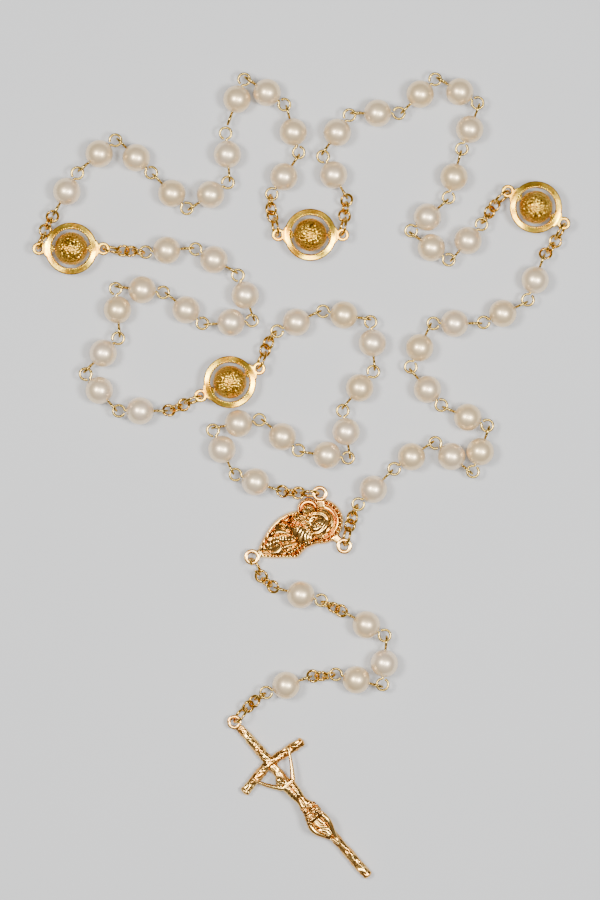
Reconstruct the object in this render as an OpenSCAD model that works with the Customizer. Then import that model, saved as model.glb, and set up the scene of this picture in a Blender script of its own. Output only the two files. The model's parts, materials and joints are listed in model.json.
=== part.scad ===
// Rosary laid out on a table: five decades of beads, four medallion spacers, a three-way
// centrepiece and a pendant with a crucifix. Every bead rides on its own eye pin, and every
// eye, ring and ear is linked through its neighbour, so the whole chain can move.
// The origin is on the table, under the middle of the centrepiece. +Z is up.

/* [Beads and eye pins] */
// Diameter of a bead
bead_d = 6; // [5.9:0.05:6.1]
// Diameter of the hole through a bead
bead_bore_d = 0.8; // [0.75:0.05:1]
// Diameter of the wire of the eye pins and chain rings
wire_d = 0.6; // [0.5:0.05:0.6]
// Outside diameter of an eye and of a small chain ring
loop_d = 3.1; // [3:0.05:3.2]
// Distance from the middle of a bead to the middle of its eye
eye_reach = 4.6; // [4.6:0.05:4.7]
// Free play between two linked wires
play = 0.14; // [0.12:0.01:0.16]

/* [Jump rings] */
// Outside diameter of a jump ring, which links a small ring to an ear
jump_d = 4.5; // [4.4:0.1:4.6]

/* [Medallion spacers] */
// Outside diameter of the dished frame
frame_d = 11.3; // [11:0.1:12]
// Diameter of the opening in the frame
opening_d = 8.5; // [8.4:0.1:9]
// Thickness of the frame from its lower to its upper edge
frame_t = 1.1; // [0.8:0.1:1.4]
// Diameter of the textured ball
ball_d = 7.3; // [7:0.1:7.4]
// Distance between the middles of a medallion's two ears
ear_span = 14; // [13.8:0.1:14.4]

/* [Centrepiece] */
// Distance from the lower ear to the line through the two upper ears
centre_len = 19.2; // [18:0.2:20]
// Distance between the two upper ears
centre_w = 12.6; // [12:0.2:13.4]
// Thickness of the plate behind the relief
plate_t = 1.4; // [1.2:0.1:1.6]
// Height of the polished rim
rim_h = 2; // [1.8:0.1:2.2]

/* [Crucifix] */
// Length of the cross from its ear to the foot of its shaft
cross_len = 44.7; // [40:0.1:48]
// Length of the crossbar
bar_len = 17.4; // [14:0.2:20]
// Thickness of the shaft and of the crossbar
log_d = 2.3; // [2:0.1:2.6]

/* [Hidden] */
$fn = 48;
wire_r = wire_d / 2;
loop_r = (loop_d - wire_d) / 2;
jump_r = (jump_d - wire_d) / 2;
bead_z = bead_d / 2;
medal_z = ball_d / 2;

// An ear is a round ring: the middle of its wire and the wire's radius
medal_ear = [1.05, 0.35];
centre_ear = [1.3, 0.45];
cross_ear = [1.2, 0.4];
centre_ear_z = 1.8;
cross_ear_z = 1.7;

// Running gap between a medallion's ball and its pin
pin_gap = 0.05;

// Distance between the middles of two linked small rings, and of a small ring and a jump ring
link_step = 2 * (loop_r - wire_r) - play;
jump_step = loop_r + jump_r - 2 * wire_r - play;
// Where the upright eye's wire stands inside its flat neighbour
inner_reach = link_step - loop_r;
// Distance between the turning points at a bead's two ends
pitch = 2 * eye_reach + loop_r + inner_reach;

// Heights of the links of a chain section, which sags between its ends: jump rings at the
// centrepiece and at a medallion, then the small rings from a jump ring to an upright eye,
// to a flat eye, and from a flat eye to an upright one
jump_z = [2.35, 2.8];
SAG_TO_UPRIGHT = [2.1, 2.0, 2.4];
SAG_TO_FLAT = [2.1, 2.1, 2.6];
SAG_BETWEEN = [2.6, 2.1, 2.3];
// How far each ring of a chain section is rolled about the line of the chain
ROLLS_FROM_EAR = [-75, 20, -65, 25];
ROLLS_TO_EAR = [-72, 36, -36, 72];
ROLLS_BETWEEN = [67, -45, 22];

// Way the top of the centrepiece points
centre_heading = 25;
// Medallions: middle on the table and the way the chain runs through it
MEDALS = [[[-13.5, 34], 205], [[-48, 63], 180], [[4, 66], 0], [[53, 72], -30]];
// Decades: headings of the chain from the ear, of the first four beads, the side that the
// fifth and sixth bead fold to, headings of the last four beads and of the chain to the ear
DECADES = [
    [[180, 170], [160, 115, 10, -40], -1, [50, 95, 170, 205], [235, 255]],
    [[210, 195], [180, 130, 45, 95], 1, [5, 110, 150, 185], [175, 175]],
    [[75, 55], [60, 40, -45, -45], -1, [70, -35, -75, -125], [-90, -70]],
    [[85, 80], [120, 55, 0, 45], 1, [-105, -140, -35, 50], [60, 45]],
    [[-110, -140], [-110, -155, -180, -115], -1, [-110, 140, 215, 225], [250, 255]]
];
// How many beads each of a decade's four groups has
GROUPS = [[1, 3, 3, 3], [3, 3, 2, 2], [3, 3, 2, 2], [3, 3, 1, 3], [2, 3, 4, 1]];
// Pendant: headings of the beads and of the chain sections between them
PENDANT = [-15, -30, -95, 165, -160];
PENDANT_CHAINS = [[-70, -25], [-35, -15], [190, 175], [-145, -130]];
cross_heading = -49;

// Names
decade_ids = [0:4];
group_ids = [0:3];

function pearls_name(d, g) = str("decade_", d + 1, "_pearls_", g + 1);
function pins_name(d, g) = str("decade_", d + 1, "_pins_", g + 1);
function medal_name(m) = str("medallion_", m + 1, "_frame");
function ball_name(m) = str("medallion_", m + 1, "_ball");

// ---- Laying out the chain ----

function dir(heading) = [cos(heading), sin(heading)];
function flat(p) = [p[0], p[1]];
function at_z(p, z) = [p[0], p[1], z];
// Part of a length that is left along the table when its ends are dz apart in height
function run(length, dz) = sqrt(length * length - dz * dz);
// Which way a line between two points heads, and how steeply it climbs
function heading_of(a, b) = atan2(b[1] - a[1], b[0] - a[0]);
function climb_of(a, b) = atan2(b[2] - a[2], norm(flat(b) - flat(a)));

// Points of a run of links: each step is [length, height of its end]
function trace(p, steps, h0, h1, i = 0) =
    i == len(steps) ? [] :
    let(
        heading = h0 + (h1 - h0) * i / (len(steps) - 1),
        q = flat(p) + run(steps[i][0], steps[i][1] - p[2]) * dir(heading),
        here = at_z(q, steps[i][1])
    )
    concat([here], trace(here, steps, h0, h1, i + 1));

// A chain section from an ear to a bead's upright or flat eye: a point on the ear's wire, the
// middles of the jump ring and of three small rings, and the middle of an upright eye or a
// point on the wire of a flat one. ear is [middle, height, [wire middle, wire radius],
// jump ring height]. The wires meet at the points, so a ring hangs from its wire's middle.
function ear_chain(ear, h0, h1, upright) =
    let(
        wire = at_z(ear[0] + ear[2][0] * dir(h0), ear[1]),
        hang = jump_r - wire_r - ear[2][1] - play,
        z = upright ? SAG_TO_UPRIGHT : SAG_TO_FLAT,
        steps = [[hang, ear[3]], [jump_step, z[0]], [link_step, z[1]], [link_step, z[2]],
                 [upright ? link_step : inner_reach, bead_z]]
    )
    concat([wire], trace(wire, steps, h0, h1));

// A chain section of three small rings from a flat eye to an upright one
function eye_chain(eye, h0, h1) =
    let(
        wire = at_z(flat(eye) + loop_r * dir(h0), bead_z),
        steps = [[inner_reach, SAG_BETWEEN[0]], [link_step, SAG_BETWEEN[1]],
                 [link_step, SAG_BETWEEN[2]], [link_step, bead_z]]
    )
    concat([wire], trace(wire, steps, h0, h1));

// The turning point between the last ring of a section and the eye that it holds
function turn_at_upright_eye(chain, h) = flat(chain[len(chain) - 1]) - loop_r * dir(h);
function turn_at_flat_eye(chain, h) =
    flat(chain[len(chain) - 1]) + (loop_r - inner_reach) * dir(h);

// Turning points of a row of beads, one pitch apart
function walk(p, headings, i = 0) =
    i == len(headings) ? [p] :
    concat([p], walk(p + pitch * dir(headings[i]), headings, i + 1));

// Headings of two beads that bridge the gap from a to b, folded to one side
function bridge(a, b, side) =
    let(
        straight = heading_of(a, b),
        fold = acos(min(1, norm(b - a) / 2 / pitch))
    )
    [straight + side * fold, straight - side * fold];

function reverse(list) = [for (i = [len(list) - 1:-1:0]) list[i]];

// Ears: [middle, height, shape, jump ring height]
function medal_side(m, side) =
    [MEDALS[m][0] + side * ear_span / 2 * dir(MEDALS[m][1]), medal_z, medal_ear, jump_z[1]];
function centre_side(x, y) =
    let(up = dir(centre_heading), right = dir(centre_heading - 90))
    [x * right + y * up, centre_ear_z, centre_ear, jump_z[0]];
centre_left = centre_side(-centre_w / 2, centre_len / 2);
centre_right = centre_side(centre_w / 2, centre_len / 2);
centre_low = centre_side(0, -centre_len / 2);

function ear_before(d) = d == 0 ? centre_left : medal_side(d - 1, 1);
function ear_after(d) = d == 4 ? centre_right : medal_side(d, -1);
function chain_before(d) = ear_chain(ear_before(d), DECADES[d][0][0], DECADES[d][0][1], true);
function chain_after(d) =
    ear_chain(ear_after(d), DECADES[d][4][1] + 180, DECADES[d][4][0] + 180, false);

// The loop is open after the sixth bead of the third decade: that bead's eye stops short of
// its neighbour's
open_decade = 2;
open_gap = 1.5;

// A decade: [turning points, headings]
function lay_decade(d) =
    let(
        row = DECADES[d],
        first = walk(turn_at_upright_eye(chain_before(d), row[0][1]), row[1]),
        back = [for (h = reverse(row[3])) h + 180],
        last = reverse(walk(turn_at_flat_eye(chain_after(d), row[4][0] + 180), back)),
        gap = d == open_decade ? open_gap : 0,
        middle = bridge(first[4], last[0] - gap * dir(row[3][0]), row[2]),
        elbow = first[4] + pitch * dir(middle[0])
    )
    [concat(first, [elbow], last), concat(row[1], middle, row[3])];
LAID = [for (d = decade_ids) lay_decade(d)];

// The pendant's chain sections and the turning point before each bead
low_chain = ear_chain(centre_low, PENDANT_CHAINS[0][0], PENDANT_CHAINS[0][1], true);
turn_1 = turn_at_upright_eye(low_chain, PENDANT_CHAINS[0][1]);
chain_2 = eye_chain(end_eye(turn_1, PENDANT[0]), PENDANT_CHAINS[1][0], PENDANT_CHAINS[1][1]);
turn_2 = turn_at_upright_eye(chain_2, PENDANT_CHAINS[1][1]);
turn_3 = turn_2 + pitch * dir(PENDANT[1]);
turn_4 = turn_3 + pitch * dir(PENDANT[2]);
chain_5 = eye_chain(end_eye(turn_4, PENDANT[3]), PENDANT_CHAINS[2][0], PENDANT_CHAINS[2][1]);
turn_5 = turn_at_upright_eye(chain_5, PENDANT_CHAINS[2][1]);
// The last section runs the other way, from the crucifix's ear, so it is laid from its eye
last_eye = end_eye(turn_5, PENDANT[4]);
last_wire = at_z(flat(last_eye) + loop_r * dir(PENDANT_CHAINS[3][0]), bead_z);
cross_steps = [[inner_reach, SAG_TO_FLAT[2]], [link_step, SAG_TO_FLAT[1]],
               [link_step, SAG_TO_FLAT[0]], [jump_step, jump_z[0]],
               [jump_r - wire_r - cross_ear[1] - play, cross_ear_z]];
cross_trace = trace(last_wire, cross_steps, PENDANT_CHAINS[3][0], PENDANT_CHAINS[3][1]);
cross_chain = reverse(concat([last_wire], cross_trace));
cross_top = flat(cross_chain[0]) + cross_ear[0] * dir(PENDANT_CHAINS[3][1]);

// Middle of the flat eye at the far end of the bead that starts at turning point p
function end_eye(p, h) = at_z(p + (pitch - inner_reach) * dir(h), bead_z);

// ---- Small pieces ----

module hoop(r, wire) {
    rotate_extrude() translate([r, 0]) circle(r = wire);
}

// Wire through a bead, along X: an upright eye at its start and a flat eye at its end
module eye_pin() {
    rotate([0, 90, 0]) cylinder(r = wire_r, h = 2 * (eye_reach - loop_r), center = true);
    translate([-eye_reach, 0, 0]) rotate([90, 0, 0]) hoop(loop_r, wire_r);
    translate([eye_reach, 0, 0]) hoop(loop_r, wire_r);
}

// A drilled ball whose hole runs along X
module drilled_ball(d, bore_d) {
    rotate([0, 90, 0]) difference() {
        sphere(d = d);
        cylinder(d = bore_d, h = d + 1, center = true);
    }
}

module pearl() {
    drilled_ball(bead_d, bead_bore_d);
}

// Puts a child on the bead that starts at turning point p
module on_bead(p, h) {
    translate(at_z(p + (loop_r + eye_reach) * dir(h), bead_z)) rotate([0, 0, h]) children();
}

// One ring of a chain: in line with its two neighbours and rolled about that line
module link(before, here, after, roll, r) {
    translate(here)
        rotate([roll, -climb_of(before, after), heading_of(before, after)])
            hoop(r, wire_r);
}

// Rings of a section that starts at an ear: the first is the jump ring
module ear_chain_rings(chain, rolls) {
    for (i = [1:4])
        link(chain[i - 1], chain[i], chain[i + 1], rolls[i - 1], i == 1 ? jump_r : loop_r);
}

module eye_chain_rings(chain) {
    for (i = [1:3])
        link(chain[i - 1], chain[i], chain[i + 1], ROLLS_BETWEEN[i - 1], loop_r);
}

// ---- Decades ----

// First bead of a group, counted from 0
function first_bead(d, g) = g == 0 ? 0 : first_bead(d, g - 1) + GROUPS[d][g - 1];
function beads_of(d, g) = [first_bead(d, g):first_bead(d, g) + GROUPS[d][g] - 1];

module pearls(d, g) {
    color("ivory")
        for (i = beads_of(d, g)) on_bead(LAID[d][0][i], LAID[d][1][i]) pearl();
}

// Eye pins of a group. The chains at the centrepiece are nodes of their own, and every
// other chain section goes with the bead that it hangs on.
module pins(d, g) {
    color("goldenrod") {
        for (i = beads_of(d, g)) on_bead(LAID[d][0][i], LAID[d][1][i]) eye_pin();
        if (g == 0 && d > 0) ear_chain_rings(chain_before(d), ROLLS_FROM_EAR);
        if (g == 3 && d < 4) ear_chain_rings(chain_after(d), ROLLS_TO_EAR);
    }
}

module centre_chain_left() {
    color("goldenrod") ear_chain_rings(chain_before(0), ROLLS_FROM_EAR);
}

module centre_chain_right() {
    color("goldenrod") ear_chain_rings(chain_after(4), ROLLS_TO_EAR);
}

// ---- Medallion spacers ----

module on_medal(m) {
    translate(at_z(MEDALS[m][0], medal_z)) rotate([0, 0, MEDALS[m][1]]) children();
}

// Dished frame with an ear and an inward tab at each side, and the pin for the ball
module medallion_frame(m) {
    inner = opening_d / 2;
    outer = frame_d / 2;
    low = -frame_t / 2;
    high = frame_t / 2;
    tab_in = ball_d / 2 + 0.2;
    color("orange") on_medal(m) {
        rotate_extrude()
            polygon([[inner, -0.1], [inner, high], [inner + 0.5, high],
                     [outer, 0], [outer, -0.3], [outer - 0.4, low]]);
        for (side = [0, 180]) rotate([0, 0, side]) {
            translate([tab_in, -0.8, -0.1]) cube([inner + 0.3 - tab_in, 1.6, 0.6]);
            translate([outer - 0.5, -0.6, -0.3]) cube([0.9, 1.2, 0.6]);
            translate([ear_span / 2, 0, 0]) hoop(medal_ear[0], medal_ear[1]);
        }
        rotate([0, 90, 0]) cylinder(r = wire_r, h = opening_d + 0.4, center = true);
    }
}

module medallion_ball(m) {
    color("gold") on_medal(m) drilled_ball(ball_d, wire_d + 2 * pin_gap);
}

// ---- Centrepiece ----

// Outline of the plate and of the sunk field inside its rim, drawn with the top up
PLATE = [
    [0.9, -8.2], [4.4, -0.9], [4.2, 0], [3.3, 2], [3.6, 5], [-2, 7],
    [-5, 4], [-5.5, 1], [-5, -1.8], [-3.5, -4.7], [-0.6, -8.3]
];
FIELD = [
    [0.2, -6.9], [3.3, -0.8], [2.5, 1.8], [2.7, 4.6], [-2, 6.2],
    [-4.2, 3.6], [-4.7, 1], [-4.2, -1.5], [-2.9, -4]
];
halo_at = [-0.7, 7.2];
halo_d = 10;
child_at = [-4.3, 5.9];
child_halo_d = 5;
// Relief on the plate: middle, radius and how far its middle is sunk into the plate
RELIEF = [
    [[-0.9, 6.7], 2, -0.4], [child_at, 1.4, -0.3], [[-0.4, 2.6], 2.2, 0.1],
    [[1.6, 0.6], 1.6, 0.2], [[-3, 1.4], 1.7, 0.3], [[-1, -2.6], 1.6, 0.1]
];
// Neck between an ear and the plate: width, thickness and how far its underside lies below
// the middle of the ear
centre_neck = [1.4, 0.4, 0.25];
// Turn of the upper ears' necks away from the line through the three ears
neck_turn = 110;

// A dome that stands on the plate
module dome(at, r, sunk) {
    translate(at_z(at, plate_t - sunk)) rotate_extrude() intersection() {
        circle(r = r);
        square(r);
    }
}

// An ear with its neck pointing along +X
module centre_ear_and_neck(length) {
    hoop(centre_ear[0], centre_ear[1]);
    translate([centre_ear[0], -centre_neck[0] / 2, -centre_neck[2]])
        cube([length, centre_neck[0], centre_neck[1]]);
}

module centrepiece() {
    color("darkgoldenrod") rotate([0, 0, centre_heading - 90]) {
        difference() {
            linear_extrude(rim_h) polygon(PLATE);
            translate([0, 0, plate_t]) linear_extrude(rim_h) polygon(FIELD);
        }
        translate(at_z(halo_at, 0)) cylinder(d = halo_d, h = rim_h - 0.1);
        translate(at_z(child_at, 0)) cylinder(d = child_halo_d, h = rim_h - 0.15);
        for (r = RELIEF) dome(r[0], r[1], r[2]);
        for (side = [-1, 1])
            translate([side * centre_w / 2, centre_len / 2, centre_ear_z])
                rotate([0, 0, 90 + side * neck_turn]) centre_ear_and_neck(2);
        translate([0, -centre_len / 2, centre_ear_z])
            rotate([0, 0, 90]) centre_ear_and_neck(1);
    }
}

// ---- Pendant ----

module pendant_pearls_three() {
    color("ivory") {
        on_bead(turn_2, PENDANT[1]) pearl();
        on_bead(turn_3, PENDANT[2]) pearl();
        on_bead(turn_4, PENDANT[3]) pearl();
    }
}

module pendant_pins_three() {
    color("goldenrod") {
        on_bead(turn_2, PENDANT[1]) eye_pin();
        on_bead(turn_3, PENDANT[2]) eye_pin();
        on_bead(turn_4, PENDANT[3]) eye_pin();
        eye_chain_rings(chain_2);
    }
}

module pendant_pin_upper() {
    color("goldenrod") {
        on_bead(turn_1, PENDANT[0]) eye_pin();
        ear_chain_rings(low_chain, ROLLS_FROM_EAR);
    }
}

module pendant_pin_lower() {
    color("goldenrod") {
        on_bead(turn_5, PENDANT[4]) eye_pin();
        eye_chain_rings(chain_5);
    }
}

module crucifix_chain() {
    color("goldenrod") ear_chain_rings(cross_chain, ROLLS_TO_EAR);
}

// ---- Crucifix, drawn head up along Y with the middle of its ear at the origin ----

bar_y = -12.2;
log_r = log_d / 2;
bar_droop = 7;
shaft_top = -1.8;

module on_cross() {
    translate(at_z(cross_top, 0)) rotate([0, 0, cross_heading + 90]) children();
}

// A round log between two points at one height
module log(a, b, r) {
    translate(a)
        rotate([0, 0, heading_of(a, b)]) rotate([0, 90, 0]) cylinder(r = r, h = norm(b - a));
}

module crucifix_cross() {
    half = bar_len / 2;
    drop = half * sin(bar_droop);
    color("darkgoldenrod") on_cross() {
        translate([0, 0, cross_ear_z]) hoop(cross_ear[0], cross_ear[1]);
        log([0, shaft_top + 0.6, log_r], [0, -cross_len, log_r], log_r);
        for (side = [-1, 1]) {
            log([0, bar_y, log_r], [side * half, bar_y - drop, log_r], log_r);
            translate([0, bar_y, log_r]) sphere(r = log_r);
        }
    }
}

// Arms reach from the bar to the shoulders, with open triangles between them and the shaft
module crucifix_corpus() {
    top = 2 * log_r;
    color("goldenrod") on_cross() {
        for (side = [-1, 1]) {
            hull() {
                translate([side * 5.6, bar_y - 0.4, top + 0.3]) sphere(r = 0.42, $fn = 16);
                translate([side * 1.1, bar_y - 5.4, top + 0.5]) sphere(r = 0.6, $fn = 16);
            }
            hull() {
                translate([side * 0.6, bar_y - 11.2, top + 0.9]) sphere(r = 0.75, $fn = 16);
                translate([side * 0.45, bar_y - 15.6, top + 1.5]) sphere(r = 0.6, $fn = 16);
            }
        }
        hull() {
            translate([0, bar_y - 5.6, top + 0.7]) sphere(r = 1.3, $fn = 20);
            translate([0, bar_y - 8.6, top + 0.6]) sphere(r = 1.05, $fn = 20);
            translate([0, bar_y - 11, top + 0.8]) sphere(r = 1.35, $fn = 20);
        }
        hull() {
            translate([0, bar_y - 15.6, top + 1.5]) sphere(r = 0.8, $fn = 16);
            translate([0, bar_y - 20.6, top + 0.4]) sphere(r = 0.55, $fn = 16);
        }
        translate([-0.3, bar_y - 3.6, top + 1.2]) sphere(r = 1.1);
    }
}

// ---- Which nodes are drawn ----

centrepiece();
centre_chain_left();
centre_chain_right();
for (d = decade_ids, g = group_ids) {
    pearls(d, g);
    pins(d, g);
}
for (m = [0:3]) {
    medallion_frame(m);
    medallion_ball(m);
}
color("ivory") on_bead(turn_1, PENDANT[0]) pearl();  // pendant_pearl_upper
pendant_pearls_three();
color("ivory") on_bead(turn_5, PENDANT[4]) pearl();  // pendant_pearl_lower
pendant_pin_upper();
pendant_pins_three();
pendant_pin_lower();
crucifix_chain();
crucifix_cross();
crucifix_corpus();
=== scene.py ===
"""Looks of a laid-out rosary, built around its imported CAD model.

Every piece stands where the CAD solid it replaces stands: a bead's pin or a ring is found in
the CAD mesh, and the detailed piece is built there. Shapes are in millimetres until a piece
is made; the scene is in metres.
"""

import json
import math
import random

import bmesh
import bpy
import numpy as np
from mathutils import Matrix, Vector, noise


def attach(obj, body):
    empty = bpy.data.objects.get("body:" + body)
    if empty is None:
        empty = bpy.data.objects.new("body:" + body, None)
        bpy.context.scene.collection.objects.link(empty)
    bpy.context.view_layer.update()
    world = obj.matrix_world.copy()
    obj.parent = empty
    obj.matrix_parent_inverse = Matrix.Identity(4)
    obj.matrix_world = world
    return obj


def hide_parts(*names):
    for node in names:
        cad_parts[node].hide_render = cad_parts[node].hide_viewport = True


MM = 0.001
FULL_TURN = 2 * math.pi

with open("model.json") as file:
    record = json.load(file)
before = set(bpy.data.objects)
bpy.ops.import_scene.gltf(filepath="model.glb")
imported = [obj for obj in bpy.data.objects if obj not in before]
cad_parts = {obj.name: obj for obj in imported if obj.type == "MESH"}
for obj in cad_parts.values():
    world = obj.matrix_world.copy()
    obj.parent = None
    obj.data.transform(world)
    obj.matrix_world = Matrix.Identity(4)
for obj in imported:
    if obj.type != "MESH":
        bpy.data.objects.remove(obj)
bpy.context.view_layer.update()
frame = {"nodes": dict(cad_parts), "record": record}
BODIES = frame["record"]["behaviour"]["bodies"]
BODY_OF = {node: body for body, nodes in BODIES.items() for node in nodes}
rng = random.Random(7)

# Sizes shared with the CAD model, in millimetres
BEAD_R = 3.0
WIRE_R = 0.3
PIN_WIRE_R = 0.27
LOOP_R = 1.25
EYE_REACH = 4.6
CENTRE_HEADING = math.radians(25)
# The centrepiece's ears: middle, heading of the neck in degrees and its length
CENTRE_EARS = [((-6.3, 9.6), -20, 1.9), ((6.3, 9.6), 200, 1.9), ((0, -9.6), 90, 1.2)]
CENTRE_EAR_Z = 1.8
CROSS_HEADING = math.radians(-49)
CROSS_EAR_R = 1.6
CROSS_EAR_Z = 1.7
BAR_Y = -12.2
LOG_R = 1.15
CROSS_LEN = 44.7
BAR_LEN = 17.4
BALL_R = 3.65
EAR_SPAN = 14.0


# ---- Materials ----


class Nodes:
    """A small helper that adds shader nodes and links them."""

    def __init__(self, name):
        self.material = bpy.data.materials.new(name)
        self.material.use_nodes = True
        self.tree = self.material.node_tree
        self.shader = self.tree.nodes["Principled BSDF"]

    def add(self, kind, inputs=None, **settings):
        node = self.tree.nodes.new(kind)
        for key, value in settings.items():
            setattr(node, key, value)
        for key, value in (inputs or {}).items():
            self.put(node.inputs[key], value)
        return node

    def put(self, socket, value):
        if isinstance(value, bpy.types.NodeSocket):
            self.tree.links.new(value, socket)
        else:
            socket.default_value = value

    def set(self, **values):
        for key, value in values.items():
            self.put(self.shader.inputs[key.replace("_", " ")], value)

    def noise(self, scale, detail=3.0, roughness=0.5):
        where = self.add("ShaderNodeTexCoord").outputs["Object"]
        made = self.add("ShaderNodeTexNoise", {"Vector": where, "Scale": scale, "Detail": detail,
                                               "Roughness": roughness})
        return made.outputs["Fac"]

    def ramp(self, fac, low, high, a, b):
        """fac from low to high, stretched to a..b."""
        made = self.add("ShaderNodeMapRange", {"Value": fac, "From Min": low, "From Max": high,
                                               "To Min": a, "To Max": b})
        return made.outputs["Result"]

    def mix(self, fac, a, b):
        made = self.add("ShaderNodeMix", data_type="RGBA")
        self.put(made.inputs[0], fac)
        self.put(made.inputs[6], a)
        self.put(made.inputs[7], b)
        return made.outputs[2]

    def attribute(self, name):
        return self.add("ShaderNodeAttribute", attribute_name=name).outputs["Fac"]

    def bump(self, height, strength, distance):
        made = self.add("ShaderNodeBump", {"Height": height, "Strength": strength,
                                           "Distance": distance})
        self.put(self.shader.inputs["Normal"], made.outputs["Normal"])


# Noise scales, in features to the metre
PLATING_CLOUDS = 420
PLATING_WEAR = 2600
NACRE_CLOUDS = 260
NACRE_SHEEN = 900
NACRE_SKIN = 2200
TABLE_CLOUDS = 14
TABLE_GRAIN = 900


def gold(name, pale, deep, recess_shade_colour, rough, grain_scale, grain):
    """Plated metal: two golds in soft clouds, painted shade that darkens its recesses, fine wear marks.
    """
    n = Nodes(name)
    clouds = n.ramp(n.noise(PLATING_CLOUDS, 3), 0.38, 0.62, 0, 1)
    colour = n.mix(clouds, (*pale, 1), (*deep, 1))
    # Painted shade: the per-point attribute darkens the colour towards the shade colour in hollows and
    # grooves
    painted_recess_shade = n.attribute("painted_recess_shade")
    n.set(Base_Color=n.mix(painted_recess_shade, colour, (*recess_shade_colour, 1)), Metallic=1.0)
    wear = n.ramp(n.noise(PLATING_WEAR, 4, 0.6), 0.3, 0.7, rough * 0.7, rough * 1.4)
    n.set(Roughness=wear)
    n.bump(n.noise(grain_scale, 3), grain, 0.00005)
    return n.material


def pearl_material():
    """Cream nacre: a half-metallic body in clouded tones, under a clear coat."""
    n = Nodes("nacre")
    tone = n.attribute("tone")
    clouds = n.ramp(n.noise(NACRE_CLOUDS, 2), 0.35, 0.65, 0, 1)
    body = n.mix(clouds, (0.96, 0.81, 0.54, 1), (0.98, 0.82, 0.63, 1))
    n.set(Base_Color=n.mix(tone, body, (0.94, 0.75, 0.44, 1)))
    n.set(Metallic=0.64)
    n.set(Roughness=n.ramp(n.noise(NACRE_SHEEN, 3), 0.3, 0.7, 0.33, 0.39))
    n.set(Coat_Weight=0.7, Coat_Roughness=0.10, Coat_IOR=1.5, Coat_Tint=(1, 0.94, 0.90, 1))
    n.set(Sheen_Weight=0.1, Sheen_Roughness=0.35, Sheen_Tint=(1, 0.88, 0.76, 1))
    n.set(Specular_IOR_Level=0.6)
    n.bump(n.noise(NACRE_SKIN, 2), 0.04, 0.00002)
    return n.material


def floor_material():
    """Pale grey table top, faintly clouded."""
    n = Nodes("table_top")
    clouds = n.ramp(n.noise(TABLE_CLOUDS, 4), 0.3, 0.7, 0, 1)
    n.set(Base_Color=n.mix(clouds, (0.555, 0.564, 0.575, 1), (0.575, 0.582, 0.59, 1)))
    n.set(Roughness=0.75, Specular_IOR_Level=0.25)
    n.bump(n.noise(TABLE_GRAIN, 3), 0.15, 0.00008)
    return n.material


# Each gold: pale and deep colours in clouds, the painted shade colour of its recesses, roughness, grain
# scale and grain strength
MATERIALS = {
    "pearl": pearl_material(),
    "wire_gold": gold("pale_gold_wire", (0.62, 0.43, 0.11), (0.50, 0.32, 0.07), (0.26, 0.11, 0.03),
                      0.17, 3000, 0.12),
    "chain_gold": gold("chain_gold", (0.72, 0.45, 0.08), (0.60, 0.33, 0.045), (0.26, 0.09, 0.02),
                       0.17, 3000, 0.12),
    "frame_gold": gold("polished_orange_gold", (0.80, 0.53, 0.06), (0.74, 0.34, 0.02),
                       (0.30, 0.10, 0.03), 0.21, 2200, 0.06),
    "ball_gold": gold("grained_gold", (0.86, 0.52, 0.06), (0.76, 0.38, 0.03), (0.14, 0.045, 0.01),
                      0.22, 5200, 0.3),
    "cast_gold": gold("cast_rose_gold", (0.89, 0.58, 0.18), (0.80, 0.38, 0.08), (0.15, 0.04, 0.01),
                      0.17, 3400, 0.08),
}


# ---- Mesh tools ----


def grid_faces(rows, cols, close_rows=False, close_cols=False):
    """Quads of a grid of rows x cols points, which may close on itself either way."""
    r = np.arange(rows if close_rows else rows - 1)[:, None]
    c = np.arange(cols if close_cols else cols - 1)[None, :]
    r1, c1 = (r + 1) % rows, (c + 1) % cols
    corners = [r * cols + c, r * cols + c1, r1 * cols + c1, r1 * cols + c]
    return np.stack([x.reshape(-1) for x in np.broadcast_arrays(*corners)], 1)


class Soup:
    """Gathers bits of mesh, in millimetres, into one piece."""

    def __init__(self):
        self.verts, self.faces, self.values, self.finish, self.count = [], [], [], [], 0

    def add(self, verts, faces, place=None, value=0.0, finish=0):
        verts = np.asarray(verts, float)
        if place is not None:
            m = np.array(place)
            verts = verts @ m[:3, :3].T + m[:3, 3]
        self.verts.append(verts)
        self.faces += [[int(i) + self.count for i in f] for f in faces]
        self.finish += [finish] * len(faces)
        self.values.append(np.broadcast_to(np.asarray(value, float), (len(verts),)))
        self.count += len(verts)


def make_piece(name, soup, materials, attribute="painted_recess_shade"):
    """A smooth-shaded object from a soup, with one material for each finish number."""
    mesh = bpy.data.meshes.new(name)
    mesh.from_pydata((np.concatenate(soup.verts) * MM).tolist(), [], soup.faces)
    mesh.polygons.foreach_set("material_index", soup.finish)
    mesh.shade_smooth()
    # The per-point attribute holds painted recess shade for gold pieces, or the random tone of pearls
    layer = mesh.attributes.new(attribute, "FLOAT", "POINT")
    layer.data.foreach_set("value", np.concatenate(soup.values).astype(np.float32))
    for material in materials:
        mesh.materials.append(MATERIALS[material])
    piece = bpy.data.objects.new(name, mesh)
    bpy.context.scene.collection.objects.link(piece)
    return piece


def stand_for(piece, node):
    """The piece takes the place of a CAD node and moves with its body."""
    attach(piece, BODY_OF[node])
    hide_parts(node)
    return piece


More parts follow.
